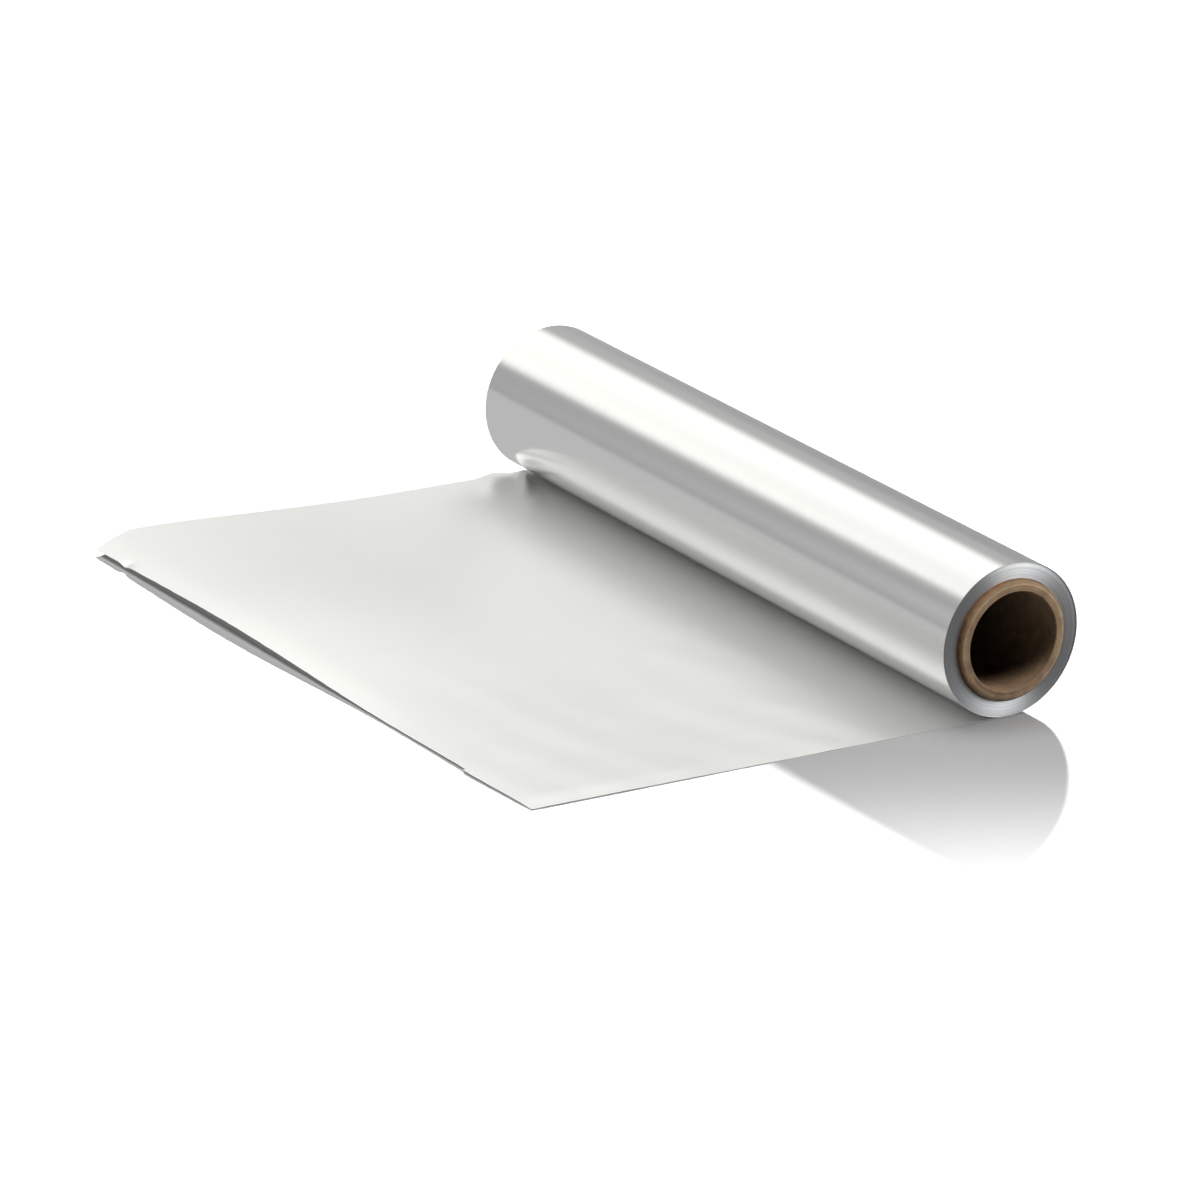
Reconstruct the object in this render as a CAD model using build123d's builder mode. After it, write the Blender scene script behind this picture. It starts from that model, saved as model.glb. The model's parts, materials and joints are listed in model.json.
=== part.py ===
from build123d import *
import os
from math import sqrt

# Aluminium foil roll: foil wound on a cardboard tube, with a sheet pulled out along the surface it lies on.
# The origin is the middle of the tube's bore, +Y runs along the tube from the near end to the far end,
# +Z is up, and the sheet leaves the roll underneath and runs towards -X. Lengths are in millimetres.

# Wound roll
FOIL_WIDTH = 300.0  # along the roll, the usual kitchen width
WINDING_THICKNESS = 6.0  # of all the turns together, from the core to the outermost one
FLAT_SPOT_WIDTH = 5.0  # where the roll's own weight flattens the turns underneath
TURN_RIDGES = 6  # groups of turns that show as rings on each end
TURN_RIDGE_DEPTH = 0.3  # how far the rings stand out of the grooves between them

# Cardboard core
CORE_DIAMETER = 44.0  # outside of the tube, on which the first turn is wound
CORE_WALL = 4.0
CORE_OVERHANG = 2.0  # how far the tube stands out of the turns at each end
CORE_CHAMFER = 0.4  # worn outer edge of the tube's ends

# Pulled-out sheet
SHEET_REACH = 191.5  # from the roll's axis to the front edge, at the near side
SHEET_THICKNESS = 0.4  # thicker than real foil, so that it stays a solid wall
FAR_EXTRA_REACH = 6.5  # extra reach of the front edge at the far side, because it is torn off a little askew
LIFT_START = 104.0  # from the near side to where the front edge starts to lift more
LIFT_PEAK = 190.0  # from the near side to where the front edge lifts most
NEAR_LIFT = 0.4  # of the front edge off the surface, at the near side
START_LIFT = 1.2  # of the front edge off the surface, where it starts to lift more
PEAK_LIFT = 3.0  # of the front edge off the surface, at its highest
FAR_LIFT = 2.3  # of the front edge off the surface, at the far side
LIFT_RUN = 100.0  # over which the sheet lifts off the surface, behind the front edge
EDGE_DROOP = 0.05  # downward slope of the sheet at its front edge

# Sizes that follow from those above
CORE_RADIUS = CORE_DIAMETER / 2
BORE_RADIUS = CORE_RADIUS - CORE_WALL
ROLL_RADIUS = CORE_RADIUS + WINDING_THICKNESS
CORE_LENGTH = FOIL_WIDTH + 2 * CORE_OVERHANG
NEAR_SIDE = -FOIL_WIDTH / 2
FAR_SIDE = FOIL_WIDTH / 2
REST_Z = -sqrt(ROLL_RADIUS**2 - (FLAT_SPOT_WIDTH / 2) ** 2)
REACH_SLOPE = FAR_EXTRA_REACH / FOIL_WIDTH

# The front edge from the near side to the far side: place along the roll, lift off the surface
FRONT_STATIONS = [
    (NEAR_SIDE, NEAR_LIFT),
    (NEAR_SIDE + LIFT_START, START_LIFT),
    (NEAR_SIDE + LIFT_PEAK, PEAK_LIFT),
    (FAR_SIDE, FAR_LIFT),
]


def turn_rings(end):
    """Outline of one end of the turns, from the core outwards, as (radius, place along the roll) points."""
    steps = 2 * TURN_RIDGES - 1
    ring_width = WINDING_THICKNESS / steps
    points = []
    for step in range(steps + 1):
        depth = TURN_RIDGE_DEPTH if step % 2 == 0 else 0.0
        points.append((CORE_RADIUS + step * ring_width, end * (FOIL_WIDTH / 2 - depth)))
    return points


def sheet_section(place, lift):
    """The sheet's section across the roll: flat on the surface, then lifted towards the front edge."""
    reach = SHEET_REACH + REACH_SLOPE * (place - NEAR_SIDE)
    level = (-1, 0)
    drooping = (-1, -EDGE_DROOP)
    under_start = (0, REST_Z)
    under_rise = (-reach + LIFT_RUN, REST_Z)
    under_edge = (-reach, REST_Z + lift)
    top_edge = (-reach, REST_Z + lift + SHEET_THICKNESS)
    top_rise = (-reach + LIFT_RUN, REST_Z + SHEET_THICKNESS)
    top_start = (0, REST_Z + SHEET_THICKNESS)
    with BuildSketch(Plane.XZ.offset(-place)) as section:
        with BuildLine():
            Line(under_start, under_rise)
            Spline(under_rise, under_edge, tangents=(level, drooping))
            Line(under_edge, top_edge)
            Spline(top_rise, top_edge, tangents=(level, drooping))
            Polyline(top_rise, top_start, under_start)
        make_face()
    return section.sketch


# Foil: the wound turns and the pulled-out sheet are one continuous piece
with BuildPart() as foil:
    with BuildSketch(Plane.XY):
        with BuildLine():
            Polyline(*turn_rings(-1), *reversed(turn_rings(1)), close=True)
        make_face()
    revolve(axis=Axis.Y)
    split(bisect_by=Plane.XY.offset(REST_Z), keep=Keep.TOP)
    loft([sheet_section(*station) for station in FRONT_STATIONS], ruled=True)

# Cardboard core: a plain tube that stands out of the turns at both ends
with BuildPart() as core:
    with BuildSketch(Plane.XZ):
        Circle(CORE_RADIUS)
        Circle(BORE_RADIUS, mode=Mode.SUBTRACT)
    extrude(amount=CORE_LENGTH / 2, both=True)
    outer_edges = core.edges().filter_by(GeomType.CIRCLE).group_by(SortBy.RADIUS)[-1]
    chamfer(outer_edges, length=CORE_CHAMFER)

os.makedirs("parts", exist_ok=True)
foil.part.label = "foil"
export_step(foil.part, "parts/foil.step")
core.part.label = "cardboard_core"
export_step(core.part, "parts/cardboard_core.step")
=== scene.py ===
import json
from math import cos, exp, pi, radians, sin, sqrt

import bpy
from mathutils import Matrix, Vector, noise


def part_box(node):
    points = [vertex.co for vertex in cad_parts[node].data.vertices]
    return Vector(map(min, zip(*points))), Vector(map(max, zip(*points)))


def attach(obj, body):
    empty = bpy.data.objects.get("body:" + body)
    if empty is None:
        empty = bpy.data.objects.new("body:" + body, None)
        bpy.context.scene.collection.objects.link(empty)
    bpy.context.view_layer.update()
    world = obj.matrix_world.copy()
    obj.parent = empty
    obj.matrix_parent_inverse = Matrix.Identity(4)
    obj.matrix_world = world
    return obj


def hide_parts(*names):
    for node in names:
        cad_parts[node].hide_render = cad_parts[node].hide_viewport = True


# Looks of the aluminium foil roll: the bright and matt sides of the foil, its turns, the cardboard
# tube, and a studio. Named lengths are in millimetres, and become metres where meshes are made.
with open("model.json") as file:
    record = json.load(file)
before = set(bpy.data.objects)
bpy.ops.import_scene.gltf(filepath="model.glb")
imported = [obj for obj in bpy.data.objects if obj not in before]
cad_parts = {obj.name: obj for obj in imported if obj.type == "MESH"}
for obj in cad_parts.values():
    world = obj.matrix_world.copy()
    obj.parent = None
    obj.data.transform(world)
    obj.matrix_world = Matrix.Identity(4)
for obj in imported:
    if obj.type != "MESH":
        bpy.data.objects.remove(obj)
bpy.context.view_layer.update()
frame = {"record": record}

MM = 0.001

# Sizes read from the frame
foil_low, foil_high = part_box("foil")
core_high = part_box("cardboard_core")[1]
core_bore = next(mount for mount in frame["record"]["mounts"] if mount["name"] == "core_bore")
REST_Z = foil_low.z / MM
ROLL_RADIUS = foil_high.x / MM
HALF_WIDTH = foil_high.y / MM
FAR_REACH = -foil_low.x / MM
CORE_RADIUS = core_high.x / MM
CORE_HALF_LENGTH = core_high.y / MM
BORE_RADIUS = core_bore["dims"]["r_mm"]

# Front edge of the sheet, which follows the solid's and lies up to a millimetre lower in places
FAR_EXTRA_REACH = 6.5  # extra reach at the far side, because the edge is torn off a little askew
LIFT_START = 84.0  # from the near side to where the edge starts to lift more
LIFT_PEAK = 200.0  # from the near side to where the edge lifts most
NEAR_LIFT = 0.35  # off the surface, at the near side
START_LIFT = 0.42  # off the surface, where it starts to lift more
PEAK_LIFT = 2.85  # off the surface, at its highest
FAR_LIFT = 1.4  # off the surface, at the far side

# Finer shape of the sheet
FOIL_THICKNESS = 0.12
LIFT_RUN = 130.0  # over which the sheet lifts off the surface, behind the front edge
DROOP = 1.4  # how far the sheet sinks again towards its front edge
DROOP_RUN = 46.0
EDGE_CURL = 0.9  # how far the front edge itself curls down
EDGE_CURL_RUN = 14.0
NEAR_EDGE_RUN = 9.0  # over which the sheet comes down towards its near edge
NEAR_EDGE_SHARE = 0.35  # share of its height that is left at the near edge

# Shares of the droop and the curl along the roll: place in half widths, share
DROOP_SHARES = ((-1.0, 0.0), (-0.4, 0.15), (0.5, 0.9), (1.0, 1.0))
CURL_SHARES = ((-1.0, 0.3), (0.0, 1.0), (1.0, 1.2))

# Soft waves on the near half of the sheet
WAVE_HEIGHT = 0.08  # half the height of a wave of strength 1
WAVE_LENGTH = 27.0
WAVE_SLANT = 0.24  # how far the crests lean out of the roll's direction
WAVE_WANDER = 11.0  # how far the crests stray from straight lines
WANDER_GRAIN = (0.02, 0.015)  # how fast they stray, across and along the roll
WAVE_STRENGTH = 0.9  # on average
WAVE_UNEVENNESS = 1.2  # how far the strength strays from that
WAVE_GRAIN = 0.03  # how fast it strays
WAVE_END = (-110.0, 10.0)  # the waves fade between these places along the roll
WAVE_CLEARANCE = (-60.0, -25.0)  # and between these places across it

# Two short folds where the sheet's far edge leaves the roll
PUCKER_AT = (-10.0, 150.0)  # where they start
PUCKER_DIRECTION = (-0.55, -0.83)  # which way they run out over the sheet
PUCKER_START = (-3.0, 6.0)  # they rise between these distances along them
PUCKER_END = (14.0, 38.0)  # and fade between these
PUCKERS = ((-0.4, 2.3, 1.5), (11.0, 4.8, 1.3))  # sideways place, width and height of each

# Tears in the front edge
TEAR_DEPTH = 0.2  # mean depth of the fine unevenness all along it
TEAR_GRAIN = 0.21  # how fast that unevenness changes along the edge
TEAR_STEP_AT = -109.0  # place of a small step
TEAR_STEP = 1.3
TEAR_STEP_ROWS = (-0.3, 0.01)  # rows of points beside the step
TEAR_RUN = 41.0  # over which the step fades towards the near side
FLAP_AT = 119.5  # a little flap is bent down here
FLAP_WIDTH = 2.4
FLAP_DROP = 0.8
FLAP_RUN = 5.0
CORNER_AT = 140.3  # from here the far corner is torn off
CORNER_DEPTH = 19.0

# Ends of the turns
TURN_GAP = 1.6 * FOIL_THICKNESS  # room for the outermost turn
END_DEPTH = 0.06  # how far the middle of the turns lies behind the edge of the outermost one
END_BULGE = 0.2  # how far the middle of the turns stands out of their inner and outer edges
RING_UNEVENNESS = 0.04
RING_GRAIN = 7.3  # how fast that unevenness changes from ring to ring

# Ends of the tube
CORE_GAP = 0.25  # between the tube and the turns
CORE_WEAR = 1.6  # width of the rounded outer edge
WEAR_DEPTH = 0.5
PLY_DEPTH = 0.1  # how far the plies lie behind the solid tube's ends, on average
PLY_UNEVENNESS = 0.1
PLY_GRAIN = 5.7  # how fast that unevenness changes from ply to ply
BORE_EDGE = (0.3, 0.35)  # width and depth of the bore's broken edge
OUTER_EDGE = (0.5, 0.9)  # width and depth of the outer edge beyond the last ply

# Mesh densities
SHEET_STEPS = 165
TURN_STEPS = 160
WIDTH_STEPS = 110
FLAP_STEPS = 5  # rows on each side of the flap's middle
ROW_CLEARANCE = 0.5  # how far even rows keep from the rows at the tears
END_RINGS = 30
RING_SEGMENTS = 180
CORE_PLIES = 9
CORE_SEGMENTS = 144

# Edges turn sharp above these angles, in degrees
STRIP_CREASE = 35
TURNS_CREASE = 20
TUBE_CREASE = 25

# Colours
FOIL_COLOUR = (0.955, 0.955, 0.95, 1)
FLOOR_COLOUR = (0.9, 0.9, 0.9, 1)
PANEL_COLOUR = (1.0, 1.0, 0.94, 1)
WALL_COLOUR = (1.0, 1.0, 1.0, 1)
EDGE_TONES = ((0.55, 0.56, 0.572), (0.78, 0.794, 0.81))
BOARD_TONES = ((0.12, 0.057, 0.024), (0.19, 0.103, 0.048))
BOARD_END_TONES = ((0.075, 0.043, 0.022), (0.29, 0.20, 0.124))

# Plies on the tube's ends, from the bore outwards: share of the wall, how pale; the palest rings are
# partly painted highlight, and the darker tone at the bore is partly painted shade
PLY_AND_PAINTED_LIGHT_TONES = (
    (0.0, 0.35),
    (0.1, 0.62),
    (0.22, 0.5),
    (0.36, 0.66),
    (0.5, 0.58),
    (0.62, 0.95),
    (0.76, 0.6),
    (0.9, 0.42),
    (1.0, 0.2),
)

# Levels of the studio's soft panels
BACK_PANEL = 0.66
BACK_PANEL_DIMMER = 0.19  # how much dimmer the back panel is, high up on its left
TOP_PANEL = 0.8
RIGHT_PANEL = 1.38

# Studio floor, in metres
FLOOR_HALF = 6.0
FLOOR_GAP = 0.02 * MM

# Camera, from the outlines of the roll in the photograph
CAMERA_AT = Vector((-1.3384, -1.9667, 0.8109))
VIEW_AZIMUTH = radians(-32.804)
VIEW_ELEVATION = radians(19.589)
VIEW_ROLL = radians(1.932)
LENS_MM = 210.0
SENSOR_MM = 36.0

# Foil mirrors foil many times where the sheet meets the roll
MIRROR_BOUNCES = 24


def smoothstep(low, high, value):
    """0 below low, 1 above high and a smooth step between them."""
    t = min(max((value - low) / (high - low), 0.0), 1.0)
    return t * t * (3 - 2 * t)


def along(stations, place):
    """The value at a place, from (place, value) stations with smooth steps between them."""
    for (start, first), (end, last) in zip(stations, stations[1:]):
        if place <= end:
            return first + (last - first) * smoothstep(start, end, place)
    return stations[-1][1]


def mesh_object(name, vertices, faces, materials, face_materials, crease_angle):
    """A smooth mesh with a material index for each face, and sharp edges above an angle in degrees."""
    mesh = bpy.data.meshes.new(name)
    mesh.from_pydata([(x * MM, y * MM, z * MM) for x, y, z in vertices], [], faces)
    for material in materials:
        mesh.materials.append(material)
    mesh.polygons.foreach_set("material_index", face_materials)
    mesh.polygons.foreach_set("use_smooth", [True] * len(faces))
    mesh.set_sharp_from_angle(angle=radians(crease_angle))
    mesh.validate()
    piece = bpy.data.objects.new(name, mesh)
    bpy.context.scene.collection.objects.link(piece)
    return piece


# Nodes


def new_material(name):
    """A material, its node tree and its Principled shader."""
    material = bpy.data.materials.new(name)
    material.use_nodes = True
    tree = material.node_tree
    return material, tree, tree.nodes["Principled BSDF"]


def set_inputs(node, values):
    """Sets a node's own sockets by name."""
    for name, value in values.items():
        node.inputs[name].default_value = value


def calculated(tree, operation, *values):
    """The result of a math node, from links and plain numbers."""
    node = tree.nodes.new("ShaderNodeMath")
    node.operation = operation
    for socket, value in zip(node.inputs, values):
        if isinstance(value, float):
            socket.default_value = value
        else:
            tree.links.new(value, socket)
    return node.outputs["Value"]


def mapped(tree, value, onto, limits=(0.0, 1.0), interpolation="LINEAR"):
    """A value between two limits mapped onto a range, and held at the range's ends."""
    node = tree.nodes.new("ShaderNodeMapRange")
    node.interpolation_type = interpolation
    set_inputs(node, {"From Min": limits[0], "From Max": limits[1]})
    set_inputs(node, {"To Min": onto[0], "To Max": onto[1]})
    tree.links.new(value, node.inputs["Value"])
    return node.outputs["Result"]


def noise_node(tree, scale, stretch, detail):
    """Noise in object coordinates, stretched by a factor on each axis."""
    coordinates = tree.nodes.new("ShaderNodeTexCoord")
    mapping = tree.nodes.new("ShaderNodeMapping")
    texture = tree.nodes.new("ShaderNodeTexNoise")
    set_inputs(mapping, {"Scale": stretch})
    set_inputs(texture, {"Scale": scale, "Detail": detail})
    tree.links.new(coordinates.outputs["Object"], mapping.inputs["Vector"])
    tree.links.new(mapping.outputs["Vector"], texture.inputs["Vector"])
    return texture.outputs["Fac"]


def position_value(tree, axis, places, values):
    """A value that goes from one to another between two places on an axis."""
    coordinates = tree.nodes.new("ShaderNodeTexCoord")
    split = tree.nodes.new("ShaderNodeSeparateXYZ")
    tree.links.new(coordinates.outputs["Object"], split.inputs["Vector"])
    return mapped(tree, split.outputs[axis], values, [place * MM for place in places])


def radius_value(tree):
    """The distance from the roll's axis, in metres."""
    coordinates = tree.nodes.new("ShaderNodeTexCoord")
    across = tree.nodes.new("ShaderNodeMapping")
    set_inputs(across, {"Scale": (1.0, 0.0, 1.0)})
    radius = tree.nodes.new("ShaderNodeVectorMath")
    radius.operation = "LENGTH"
    tree.links.new(coordinates.outputs["Object"], across.inputs["Vector"])
    tree.links.new(across.outputs["Vector"], radius.inputs[0])
    return radius.outputs["Value"]


def two_tones(tree, value, limits, tones):
    """A colour from a value: the first tone below the limits, the second above them."""
    ramp = tree.nodes.new("ShaderNodeValToRGB")
    for element, limit, tone in zip(ramp.color_ramp.elements, limits, tones):
        element.position = limit
        element.color = (*tone, 1)
    tree.links.new(value, ramp.inputs["Fac"])
    return ramp.outputs["Color"]


def bumped(tree, shader, height, strength, distance):
    """A bump from a height value."""
    node = tree.nodes.new("ShaderNodeBump")
    set_inputs(node, {"Strength": strength, "Distance": distance})
    tree.links.new(height, node.inputs["Height"])
    tree.links.new(node.outputs["Normal"], shader.inputs["Normal"])


# Materials


def bright_foil():
    """The bright side, which faces out on the roll: almost a mirror, with faint marks round the roll."""
    material, tree, shader = new_material("foil_bright_side")
    set_inputs(shader, {"Base Color": FOIL_COLOUR, "Metallic": 1.0})
    marks = noise_node(tree, scale=900, stretch=(0.02, 1.0, 0.02), detail=2.0)
    tree.links.new(mapped(tree, marks, onto=(0.12, 0.18)), shader.inputs["Roughness"])
    return material


def matt_foil():
    """The matt side, which faces up on the sheet: satin, with rolling marks along the sheet."""
    material, tree, shader = new_material("foil_matt_side")
    set_inputs(shader, {"Base Color": FOIL_COLOUR, "Metallic": 1.0})
    marks = noise_node(tree, scale=700, stretch=(0.03, 1.0, 1.0), detail=3.0)
    width = (-HALF_WIDTH, HALF_WIDTH)
    front = (-FAR_REACH, -0.6 * FAR_REACH)
    along_roll = position_value(tree, "Y", places=width, values=(0.372, 0.456))
    towards_edge = position_value(tree, "X", places=front, values=(0.06, 0.0))
    roughness = calculated(tree, "ADD", along_roll, towards_edge)
    roughness = calculated(tree, "ADD", roughness, mapped(tree, marks, onto=(-0.04, 0.04)))
    tree.links.new(roughness, shader.inputs["Roughness"])
    grain = noise_node(tree, scale=900, stretch=(0.5, 1.0, 1.0), detail=4.0)
    bumped(tree, shader, grain, strength=0.05, distance=0.0002)
    return material


def foil_edges():
    """The ends of the turns: cut edges in fine rings, which stretch highlights towards the axis."""
    material, tree, shader = new_material("foil_cut_edges")
    rings = tree.nodes.new("ShaderNodeTexNoise")
    rings.noise_dimensions = "1D"
    set_inputs(rings, {"Scale": 2600, "Detail": 3.0})
    tree.links.new(radius_value(tree), rings.inputs["W"])
    tone = two_tones(tree, rings.outputs["Fac"], limits=(0.3, 0.7), tones=EDGE_TONES)
    tree.links.new(tone, shader.inputs["Base Color"])
    roughness = mapped(tree, rings.outputs["Fac"], onto=(0.53, 0.41))
    tree.links.new(roughness, shader.inputs["Roughness"])
    set_inputs(shader, {"Metallic": 1.0, "Anisotropic": 0.9, "Anisotropic Rotation": 0.25})
    tangent = tree.nodes.new("ShaderNodeTangent")
    tangent.direction_type = "RADIAL"
    tangent.axis = "Y"
    tree.links.new(tangent.outputs["Tangent"], shader.inputs["Tangent"])
    return material


def board_wall():
    """Brown board on the outside of the tube: fibres, a mottled tone, and a rough surface."""
    material, tree, shader = new_material("core_wall")
    fibres = noise_node(tree, scale=420, stretch=(1.0, 0.3, 1.0), detail=6.0)
    tone = two_tones(tree, fibres, limits=(0.3, 0.72), tones=BOARD_TONES)
    tree.links.new(tone, shader.inputs["Base Color"])
    set_inputs(shader, {"Roughness": 0.85, "Specular IOR Level": 0.25})
    grain = noise_node(tree, scale=1400, stretch=(1.0, 0.4, 1.0), detail=5.0)
    bumped(tree, shader, grain, strength=0.4, distance=0.0003)
    return material


def board_end():
    """The tube's cut ends, where plies show as rings, the palest partly painted highlight, and the bore,
    which has the first ply's darker tone as partly painted shade.
    """
    material, tree, shader = new_material("core_end")
    wall = (BORE_RADIUS * MM, CORE_RADIUS * MM)
    depth = mapped(tree, radius_value(tree), onto=(0.0, 1.0), limits=wall)
    # Ply tones by distance from the axis, with painted highlight in the palest rings and painted shade
    # at the bore
    plies = tree.nodes.new("ShaderNodeValToRGB")
    for place, _ in PLY_AND_PAINTED_LIGHT_TONES[1:-1]:
        plies.color_ramp.elements.new(place)
    for element, (place, tone) in zip(plies.color_ramp.elements, PLY_AND_PAINTED_LIGHT_TONES):
        element.position = place
        element.color = (tone, tone, tone, 1)
    tree.links.new(depth, plies.inputs["Fac"])
    fibres = noise_node(tree, scale=260, stretch=(1.0, 1.0, 1.0), detail=7.0)
    mottled = mapped(tree, fibres, onto=(0.35, 1.45))
    # Ply tones with mottled fibres; the painted highlight and shade of the ply tones go through here
    wear_and_painted_light = calculated(tree, "MULTIPLY_ADD", plies.outputs["Color"], mottled, 0.02)
    tone = two_tones(tree, wear_and_painted_light, limits=(0.15, 0.95), tones=BOARD_END_TONES)
    tree.links.new(tone, shader.inputs["Base Color"])
    set_inputs(shader, {"Roughness": 0.88, "Specular IOR Level": 0.2})
    grain = noise_node(tree, scale=1500, stretch=(1.0, 0.4, 1.0), detail=5.0)
    bumped(tree, shader, grain, strength=0.5, distance=0.0003)
    return material


def floor_white():
    """A plain white studio floor, matt and without gloss."""
    material, tree, shader = new_material("studio_floor")
    set_inputs(shader, {"Base Color": FLOOR_COLOUR, "Roughness": 0.9, "Specular IOR Level": 0.0})
    return material


# Shape of the sheet


def even_reach(place):
    """Distance of the sheet's front edge from the roll's axis, without the tears."""
    return FAR_REACH - FAR_EXTRA_REACH * (HALF_WIDTH - place) / (2 * HALF_WIDTH)


def torn_reach(place):
    """Distance of the sheet's torn front edge from the roll's axis, at a place along the roll."""
    reach = even_reach(place)
    if place < TEAR_STEP_AT:
        reach += TEAR_STEP * max(1 - (TEAR_STEP_AT - place) / TEAR_RUN, 0.0)
    reach -= CORNER_DEPTH * max(place - CORNER_AT, 0.0) / (HALF_WIDTH - CORNER_AT)
    return reach - TEAR_DEPTH * (1 + noise.noise((place * TEAR_GRAIN, 3.0, 1.0)))


def front_lift(place):
    """Lift of the sheet's front edge off the surface, at a place along the roll."""
    stations = [
        (-HALF_WIDTH, NEAR_LIFT),
        (-HALF_WIDTH + LIFT_START, START_LIFT),
        (-HALF_WIDTH + LIFT_PEAK, PEAK_LIFT),
        (HALF_WIDTH, FAR_LIFT),
    ]
    return along(stations, place)


def waves(x, place):
    """Soft, uneven waves on the near half of the sheet, clear of the roll."""
    wander = WAVE_WANDER * noise.noise((x * WANDER_GRAIN[0], place * WANDER_GRAIN[1], 2.0))
    crest = x + WAVE_SLANT * (place + HALF_WIDTH) + wander
    uneven = noise.noise((x * WAVE_GRAIN, place * WAVE_GRAIN, 5.0))
    strength = WAVE_STRENGTH + WAVE_UNEVENNESS * uneven
    near = 1 - smoothstep(*WAVE_END, place)
    clear = 1 - smoothstep(*WAVE_CLEARANCE, x)
    return WAVE_HEIGHT * strength * near * clear * (1 + sin(2 * pi * crest / WAVE_LENGTH))


def puckers(x, place):
    """Short folds that run out from where the sheet's far edge leaves the roll."""
    right, ahead = x - PUCKER_AT[0], place - PUCKER_AT[1]
    outward = PUCKER_DIRECTION[0] * right + PUCKER_DIRECTION[1] * ahead
    sideways = PUCKER_DIRECTION[1] * right - PUCKER_DIRECTION[0] * ahead
    fade = smoothstep(*PUCKER_START, outward) * (1 - smoothstep(*PUCKER_END, outward))
    return fade * sum(height * exp(-(((sideways - at) / width) ** 2)) for at, width, height in PUCKERS)


def falling(run, behind_edge):
    """1 at the front edge, falling to 0 at a distance behind it."""
    return max(1 - behind_edge / run, 0.0)


def sheet_height(x, place):
    """Height of the sheet off the surface: it lifts towards the front edge and droops at the edge."""
    behind_edge = x + even_reach(place)
    droop = DROOP * along(DROOP_SHARES, place / HALF_WIDTH)
    curl = EDGE_CURL * along(CURL_SHARES, place / HALF_WIDTH)
    rise = 1 - smoothstep(0.0, LIFT_RUN, behind_edge)
    hump = (front_lift(place) + droop + curl) * rise
    sink = droop * falling(DROOP_RUN, behind_edge) ** 2
    sink += curl * falling(EDGE_CURL_RUN, behind_edge) ** 2
    bent = exp(-(((place - FLAP_AT) / FLAP_WIDTH) ** 2))
    flap = FLAP_DROP * bent * falling(FLAP_RUN, behind_edge)
    inward = smoothstep(-HALF_WIDTH, -HALF_WIDTH + NEAR_EDGE_RUN, place)
    near_edge = NEAR_EDGE_SHARE + (1 - NEAR_EDGE_SHARE) * inward
    return near_edge * (hump - sink + waves(x, place)) - flap + puckers(x, place)


# Pieces


def strip_section(place):
    """Middle line of the sheet and the outermost turn, as (x, z, normal x, normal z) points."""
    half = FOIL_THICKNESS / 2
    reach = torn_reach(place)
    line = []
    for step in range(SHEET_STEPS):
        x = -reach * (1 - step / SHEET_STEPS)
        line.append((x, REST_Z + half + sheet_height(x, place)))
    for step in range(TURN_STEPS + 1):
        turned = step / TURN_STEPS
        angle = -pi / 2 + 2 * pi * turned
        radius = ROLL_RADIUS - half - FOIL_THICKNESS * turned
        lowest = REST_Z + half + FOIL_THICKNESS * turned
        line.append((radius * cos(angle), max(radius * sin(angle), lowest)))
    points = []
    for index, (x, z) in enumerate(line):
        before = line[max(index - 1, 0)]
        after = line[min(index + 1, len(line) - 1)]
        run, rise = after[0] - before[0], after[1] - before[1]
        length = sqrt(run**2 + rise**2)
        points.append((x, z, -rise / length, run / length))
    return points


def strip_places():
    """Places of the strip's sections along the roll: even steps, and closer ones at the tears."""
    torn = [TEAR_STEP_AT + row for row in TEAR_STEP_ROWS] + [CORNER_AT]
    torn += [FLAP_AT + 0.5 * FLAP_WIDTH * step for step in range(-FLAP_STEPS, FLAP_STEPS + 1)]
    even = [-HALF_WIDTH + 2 * HALF_WIDTH * step / WIDTH_STEPS for step in range(WIDTH_STEPS + 1)]
    clear = [place for place in even if min(abs(place - tear) for tear in torn) > ROW_CLEARANCE]
    return sorted(torn + clear)


def foil_strip(bright, matt):
    """The sheet and the outermost turn, one strip of foil with its bright side down and out."""
    places = strip_places()
    sections = [strip_section(place) for place in places]
    count = len(sections[0])
    half = FOIL_THICKNESS / 2
    vertices = []
    for place, section in zip(places, sections):
        vertices += [(x + half * nx, place, z + half * nz) for x, z, nx, nz in section]
        vertices += [(x - half * nx, place, z - half * nz) for x, z, nx, nz in section]
    faces, sides = [], []
    row = 2 * count

    def add(face, side):
        faces.append(face)
        sides.append(side)

    last_row = len(places) - 1
    for i in range(last_row):
        a, b = i * row, (i + 1) * row
        for j in range(count - 1):
            add((a + j, a + j + 1, b + j + 1, b + j), 1)
            add((a + count + j, b + count + j, b + count + j + 1, a + count + j + 1), 0)
        add((a, b, b + count, a + count), 0)
        last = count - 1
        add((a + last, a + count + last, b + count + last, b + last), 0)
    end = last_row * row
    for j in range(count - 1):
        add((j, count + j, count + j + 1, j + 1), 0)
        add((end + j, end + j + 1, end + count + j + 1, end + count + j), 0)
    return mesh_object("foil_strip", vertices, faces, [bright, matt], sides, STRIP_CREASE)


def turned_ring(name, outline, segments, lowest, materials, crease_angle):
    """A closed outline of (radius, place, material) points, turned round above a lowest height."""
    count = len(outline)
    vertices = []
    for segment in range(segments):
        angle = 2 * pi * segment / segments
        for radius, place, _ in outline:
            vertices.append((radius * cos(angle), place, max(radius * sin(angle), lowest)))
    faces, face_materials = [], []
    for segment in range(segments):
        a, b = segment * count, (segment + 1) % segments * count
        for j in range(count):
            k = (j + 1) % count
            faces.append((a + j, a + k, b + k, b + j))
            face_materials.append(outline[j][2])
    return mesh_object(name, vertices, faces, materials, face_materials, crease_angle)


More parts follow.
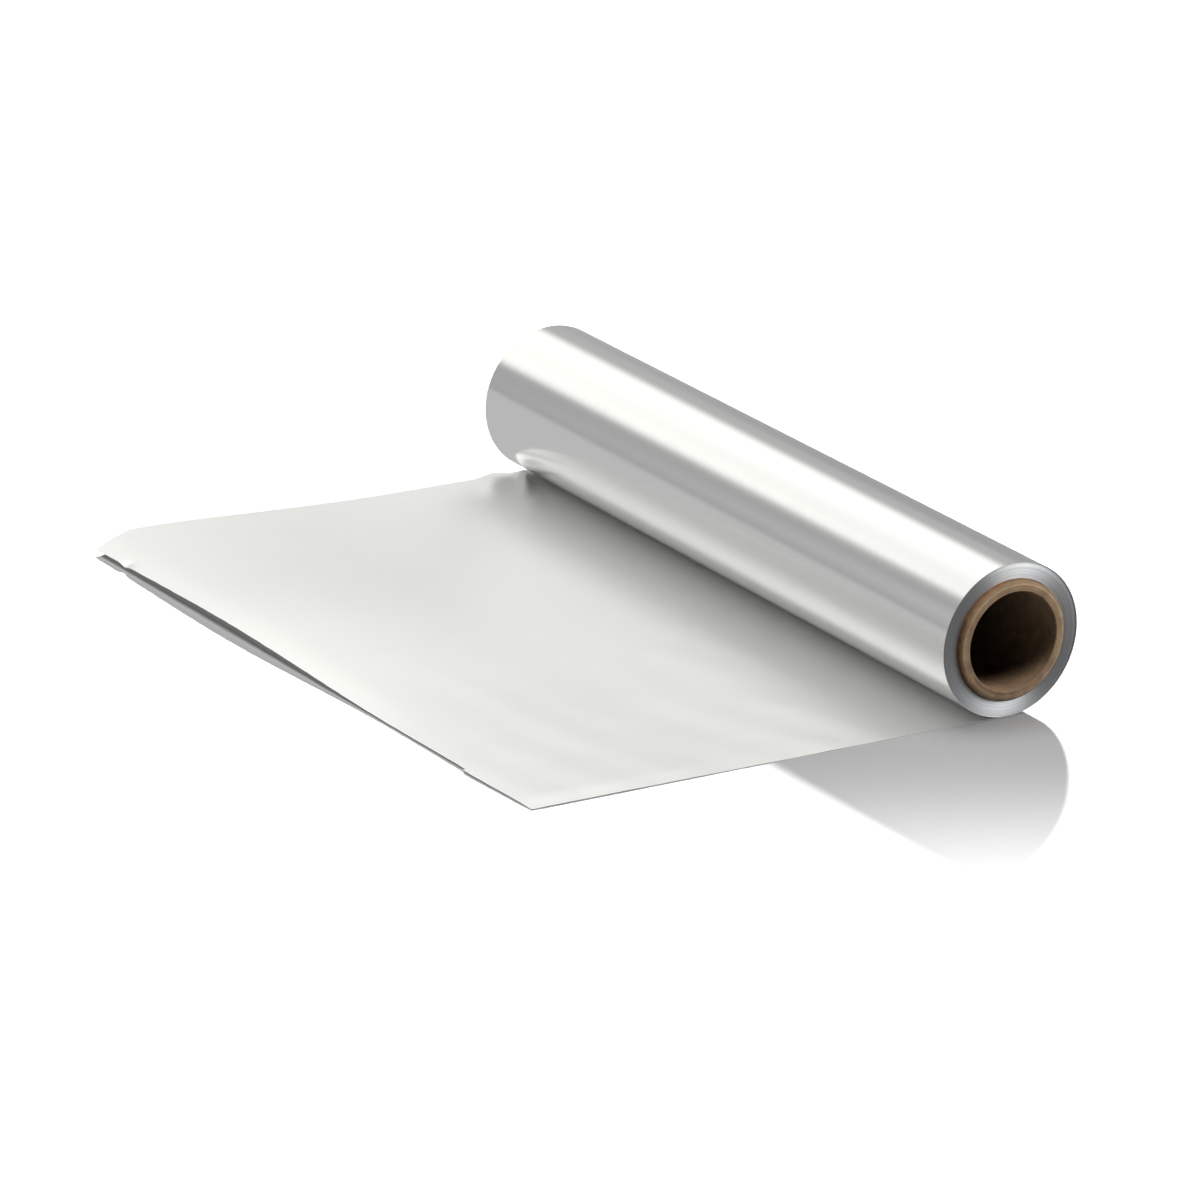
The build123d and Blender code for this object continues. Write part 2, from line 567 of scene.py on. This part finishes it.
def wound_turns(edges):
    """The turns under the outermost one, with the uneven edges of the foil on both ends."""
    outer = ROLL_RADIUS - TURN_GAP
    outline = []
    for end in (-1, 1):
        rings = []
        for ring in range(END_RINGS + 1):
            radius = CORE_RADIUS + (outer - CORE_RADIUS) * ring / END_RINGS
            across = 2 * ring / END_RINGS - 1
            uneven = RING_UNEVENNESS * noise.noise((radius * RING_GRAIN, end * 4.1, 0.5))
            depth = END_DEPTH + END_BULGE * across**2 + uneven
            rings.append((radius, end * (HALF_WIDTH - depth), 0))
        outline += rings if end < 0 else rings[::-1]
    return turned_ring("foil_turns", outline, RING_SEGMENTS, REST_Z + TURN_GAP, [edges], TURNS_CREASE)


def core_tube(wall, face):
    """The cardboard tube, a little loose in the turns, with its plies showing on the ends."""
    outer = CORE_RADIUS - CORE_GAP
    first_ply = BORE_RADIUS + BORE_EDGE[0]
    last_ply = outer - OUTER_EDGE[0]
    outline = []
    for end in (-1, 1):
        plies = [(BORE_RADIUS, end * (CORE_HALF_LENGTH - BORE_EDGE[1]), 1)]
        for ply in range(CORE_PLIES + 1):
            radius = first_ply + (last_ply - first_ply) * ply / CORE_PLIES
            wear_and_painted_light = max(radius - outer + CORE_WEAR, 0.0) / CORE_WEAR
            uneven = PLY_UNEVENNESS * noise.noise((radius * PLY_GRAIN, end * 2.3, 8.5))
            depth = PLY_DEPTH + uneven + WEAR_DEPTH * wear_and_painted_light**2
            plies.append((radius, end * (CORE_HALF_LENGTH - depth), 1))
        plies.append((outer, end * (CORE_HALF_LENGTH - OUTER_EDGE[1]), 0))
        outline += plies if end < 0 else plies[::-1]
    return turned_ring("core_tube", outline, CORE_SEGMENTS, -CORE_RADIUS, [wall, face], TUBE_CREASE)


# Studio


def studio_floor():
    """A large plain floor just under the part. The foil mirrors the studio in place of it."""
    half = FLOOR_HALF
    height = REST_Z * MM - FLOOR_GAP
    mesh = bpy.data.meshes.new("studio_floor")
    corners = [(-half, -half), (half, -half), (half, half), (-half, half)]
    mesh.from_pydata([(x, y, height) for x, y in corners], [], [(0, 1, 2, 3)])
    mesh.materials.append(floor_white())
    floor = bpy.data.objects.new("studio_floor", mesh)
    bpy.context.scene.collection.objects.link(floor)
    floor.visible_glossy = False
    return floor


def studio_world():
    """The studio by direction: grey behind, dim in front, soft panels at the back, top and right."""
    world = bpy.data.worlds.new("studio")
    bpy.context.scene.world = world
    world.use_nodes = True
    tree = world.node_tree

    def edge(value, start, end, first=0.0, last=1.0):
        """A soft edge: from the first level to the last, between two limits of a value."""
        return mapped(tree, value, (first, last), (start, end), "SMOOTHSTEP")

    def times(first, *others):
        """The product of values."""
        product = first
        for other in others:
            product = calculated(tree, "MULTIPLY", product, other)
        return product

    def blend(share, low, high):
        """The low value where the share is 0, and the high one where it is 1."""
        return calculated(tree, "MULTIPLY_ADD", share, calculated(tree, "SUBTRACT", high, low), low)

    # A direction at the back, by how far it goes across and up for each step backwards
    coordinates = tree.nodes.new("ShaderNodeTexCoord")
    split = tree.nodes.new("ShaderNodeSeparateXYZ")
    tree.links.new(coordinates.outputs["Generated"], split.inputs["Vector"])
    x, y, z = split.outputs["X"], split.outputs["Y"], split.outputs["Z"]
    backwards = calculated(tree, "MAXIMUM", y, 0.05)
    across = calculated(tree, "DIVIDE", x, backwards)
    up = calculated(tree, "DIVIDE", z, backwards)
    behind = edge(y, 0.0, 0.15)

    # Soft panels
    slanted_side = edge(calculated(tree, "MULTIPLY_ADD", across, -1.257, up), -0.2, 0.2)
    back_panel = times(slanted_side, edge(across, -0.58, -0.46), behind, edge(up, 0.40, 0.50))
    dimmer = times(edge(up, 0.66, 0.84), edge(across, -0.35, 0.2, BACK_PANEL_DIMMER, 0.0))
    top_panel = times(edge(up, 0.85, 1.3), edge(across, -0.35, 0.3), behind)
    up_at_right = calculated(tree, "DIVIDE", z, calculated(tree, "MAXIMUM", x, 0.05))
    right_panel = times(edge(up_at_right, 0.5, 0.7), edge(x, 0.54, 0.66))
    panels = times(back_panel, calculated(tree, "SUBTRACT", BACK_PANEL, dimmer))
    panels = calculated(tree, "MULTIPLY_ADD", top_panel, TOP_PANEL, panels)
    panels = calculated(tree, "MULTIPLY_ADD", right_panel, RIGHT_PANEL, panels)

    # Walls and ground
    left_height = times(edge(up, 0.0, 0.3), edge(up, 0.42, 0.6, 1.0, 0.0))
    left_wall = times(edge(across, -0.80, -0.68, 0.12, 0.0), left_height)
    wall = calculated(tree, "ADD", left_wall, edge(across, 0.66, 0.82, 0.44, 0.34))
    wall = calculated(tree, "SUBTRACT", wall, edge(across, -0.64, -0.5, 0.08, 0.0))
    ground = edge(across, 0.66, 0.82, 0.50, 0.36)
    low_right = edge(z, -0.6, -0.25, 0.0, 0.55)
    low_front = calculated(tree, "MULTIPLY_ADD", low_right, edge(x, 0.0, 0.95), 0.08)
    high_front = edge(x, 0.4, 0.95, 0.06, 0.75)
    horizon = edge(z, -0.03, 0.03)
    at_back = blend(horizon, ground, wall)
    at_front = blend(horizon, low_front, high_front)
    room = blend(edge(y, -0.35, 0.35), at_front, at_back)

    background = tree.nodes["Background"]
    set_inputs(background, {"Color": WALL_COLOUR})
    tree.links.new(room, background.inputs["Strength"])
    glow = tree.nodes.new("ShaderNodeBackground")
    set_inputs(glow, {"Color": PANEL_COLOUR})
    tree.links.new(panels, glow.inputs["Strength"])
    both = tree.nodes.new("ShaderNodeAddShader")
    tree.links.new(background.outputs["Background"], both.inputs[0])
    tree.links.new(glow.outputs["Background"], both.inputs[1])
    tree.links.new(both.outputs["Shader"], tree.nodes["World Output"].inputs["Surface"])
    world.cycles_visibility.diffuse = False


def add_light(name, lamp, place, lit):
    """Hangs a lamp that faces the roll and lights only some of the objects, unseen by the camera."""
    light = bpy.data.objects.new(name, lamp)
    light.location = place
    light.rotation_euler = light.location.to_track_quat("Z", "Y").to_euler()
    light.visible_camera = False
    bpy.context.scene.collection.objects.link(light)
    receivers = bpy.data.collections.new(name)
    for piece in lit:
        receivers.objects.link(piece)
    light.light_linking.receiver_collection = receivers
    return light


def add_panel(name, width, height, watts, place, lit):
    """A soft rectangular light that faces the roll."""
    lamp = bpy.data.lights.new(name, "AREA")
    lamp.shape = "RECTANGLE"
    lamp.size = width
    lamp.size_y = height
    lamp.energy = watts
    return add_light(name, lamp, place, lit)


def floor_lights(floor):
    """A low light from behind casts the shadow on the floor, and a spot from above softens its front."""
    sun = bpy.data.lights.new("floor_light", "SUN")
    sun.energy = 13.0
    sun.angle = radians(2.5)
    add_light("floor_light", sun, (0.556, 0.76, 0.337), [floor])
    lamp = bpy.data.lights.new("floor_spot", "SPOT")
    lamp.energy = 52.0
    lamp.spot_size = radians(34)
    lamp.spot_blend = 1.0
    lamp.shadow_soft_size = 0.05
    spot = add_light("floor_spot", lamp, (-0.155, -0.45, 1.0), [floor])
    spot.rotation_euler = (0, 0, 0)


def studio_lights(floor, strip, turns, tube):
    """Soft lights: from above, on both ends of the roll, and at the front for the foil to mirror."""
    floor_lights(floor)

    # From above, and not mirrored
    for name, watts, lit in (("overhead_light", 15.5, [turns, tube]), ("floor_fill", 21.0, [floor])):
        light = add_panel(name, width=1.5, height=1.5, watts=watts, place=(-0.1, 0.0, 2.0), lit=lit)
        light.visible_glossy = False

    # Name, width and height, watts, place, and what each lights
    panels = (
        ("front_light", (1.2, 1.0), 11.0, (0.98, -1.1, 0.55), [turns]),
        ("tube_light", (0.5, 0.5), 26.0, (0.32, -0.43, 1.2), [tube]),
        ("rear_light", (1.7, 1.7), 14.0, (0.98, 0.9, 0.85), [turns, tube]),
        ("front_wall", (6.0, 2.4), 22.0, (0.0, -2.6, 1.2), [strip]),
        ("front_panel", (2.4, 1.0), 7.5, (-0.2, -1.5, 2.0), [strip]),
    )
    for name, (width, height), watts, place, lit in panels:
        add_panel(name, width, height, watts, place, lit)


def photograph_camera():
    """A long lens that looks along the fitted direction."""
    flat = cos(VIEW_ELEVATION)
    back = Vector((sin(VIEW_AZIMUTH) * flat, -cos(VIEW_AZIMUTH) * flat, sin(VIEW_ELEVATION)))
    level_right = Vector((cos(VIEW_AZIMUTH), sin(VIEW_AZIMUTH), 0.0))
    level_up = back.cross(level_right)
    right = cos(VIEW_ROLL) * level_right + sin(VIEW_ROLL) * level_up
    up = back.cross(right)
    lens = bpy.data.cameras.new("camera")
    lens.sensor_width = SENSOR_MM
    lens.lens = LENS_MM
    camera = bpy.data.objects.new("camera", lens)
    turn = Matrix((right, up, back)).transposed().to_4x4()
    camera.matrix_world = Matrix.Translation(CAMERA_AT) @ turn
    bpy.context.scene.collection.objects.link(camera)
    bpy.context.scene.camera = camera


# The object
strip = foil_strip(bright_foil(), matt_foil())
turns = wound_turns(foil_edges())
tube = core_tube(board_wall(), board_end())
pieces = ((strip, "foil", "foil"), (turns, "foil", "foil"), (tube, "cardboard_core", "cardboard"))
for piece, node, slot in pieces:
    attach(piece, "root")
    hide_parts(node)

studio_world()
studio_lights(studio_floor(), strip, turns, tube)
photograph_camera()
bpy.context.scene.view_settings.view_transform = "Standard"
bpy.context.scene.cycles.max_bounces = MIRROR_BOUNCES
bpy.context.scene.cycles.glossy_bounces = MIRROR_BOUNCES
